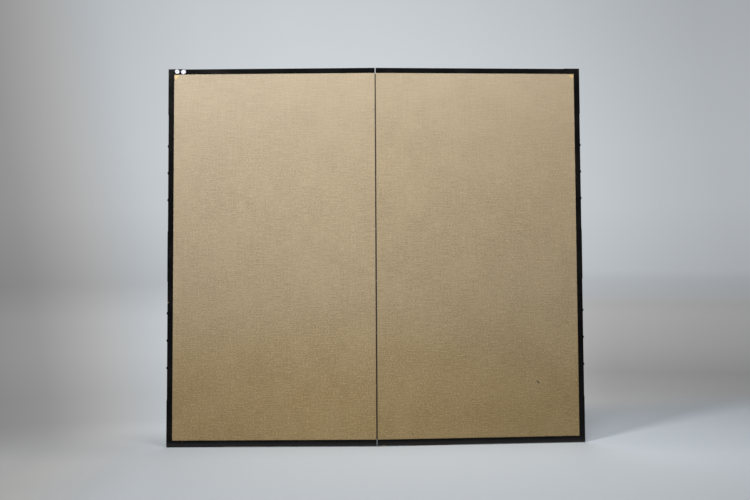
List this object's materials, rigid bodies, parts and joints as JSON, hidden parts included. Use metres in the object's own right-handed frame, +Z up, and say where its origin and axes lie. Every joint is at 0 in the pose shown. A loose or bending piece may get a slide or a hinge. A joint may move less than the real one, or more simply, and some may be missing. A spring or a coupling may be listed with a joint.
{
  "type": "folding screen",
  "caption": "Free-standing folding screen: cloth-faced lattice panels in black lacquered edge strips, joined by double-acting paper hinges, with metal corner fittings and studs.",
  "frame": {"origin": "middle of the standing screen's footprint, on the floor, at the rest pose", "axes": "+X across the screen to the viewer's right, +Y towards its back, +Z up; the cloth faces look to -Y"},
  "size_m": [1.8826, 0.0618, 1.7018],
  "materials": {
    "cedar": "planed cedar, unfinished",
    "undercoat": "layered handmade paper",
    "hemp_cloth": "coarse plain-weave hemp",
    "back_paper": "plain handmade paper",
    "hinge_paper": "tough dyed hinge paper",
    "lacquer": "satin black lacquer on wood",
    "iron": "forged iron",
    "black_metal": "blackened metal",
    "gilt": "worn gilding"
  },
  "bodies": {
    "odd_webs": {"hinge_webs_odd": "hinge_paper"},
    "left_panel": {"left_core_stile_fold": "cedar", "left_core_stile_outer": "cedar", "left_core_rail_top": "cedar", "left_core_rail_bottom": "cedar", "left_core_uprights": "cedar", "left_core_crossbars": "cedar", "left_undercoat_front": "undercoat", "left_undercoat_back": "undercoat", "left_face_cloth": "hemp_cloth", "left_back_paper": "back_paper", "left_hinge_wings_front": "hinge_paper", "left_hinge_wings_back": "hinge_paper", "left_frame_stile": "lacquer", "left_frame_rail_top": "lacquer", "left_frame_rail_bottom": "lacquer", "left_frame_nails": "iron", "left_top_corner_fitting": "black_metal", "left_bottom_corner_fitting": "black_metal", "left_centre_fitting": "black_metal", "left_studs": "black_metal", "left_gilt_corner": "gilt"},
    "right_panel": {"right_core_stile_fold": "cedar", "right_core_stile_outer": "cedar", "right_core_rail_top": "cedar", "right_core_rail_bottom": "cedar", "right_core_uprights": "cedar", "right_core_crossbars": "cedar", "right_undercoat_front": "undercoat", "right_undercoat_back": "undercoat", "right_face_cloth": "hemp_cloth", "right_back_paper": "back_paper", "right_hinge_wings_front": "hinge_paper", "right_hinge_wings_back": "hinge_paper", "right_frame_stile": "lacquer", "right_frame_rail_top": "lacquer", "right_frame_rail_bottom": "lacquer", "right_frame_nails": "iron", "right_top_corner_fitting": "black_metal", "right_bottom_corner_fitting": "black_metal", "right_centre_fitting": "black_metal", "right_studs": "black_metal", "right_gilt_corner": "gilt"},
    "even_webs": {"hinge_webs_even": "hinge_paper"}
  },
  "joints": [
    {"name": "front_fold", "type": "hinge", "parent": "odd_webs", "child": "left_panel", "pos_m": [-0.00093, -0.03118, 0], "axis": [0, 0, 1], "range_deg": [0, 180]},
    {"name": "back_fold", "type": "hinge", "parent": "odd_webs", "child": "right_panel", "pos_m": [0, -0.0098, 0], "axis": [0, 0, 1], "range_deg": [-5, 175]},
    {"name": "even_web_fold", "type": "hinge", "parent": "left_panel", "child": "even_webs", "pos_m": [0, -0.0098, 0], "axis": [0, 0, 1], "range_deg": [-5, 175]}
  ],
  "couplings": [
    {"joint": "even_web_fold", "follows": "back_fold", "ratio": 1}
  ]
}
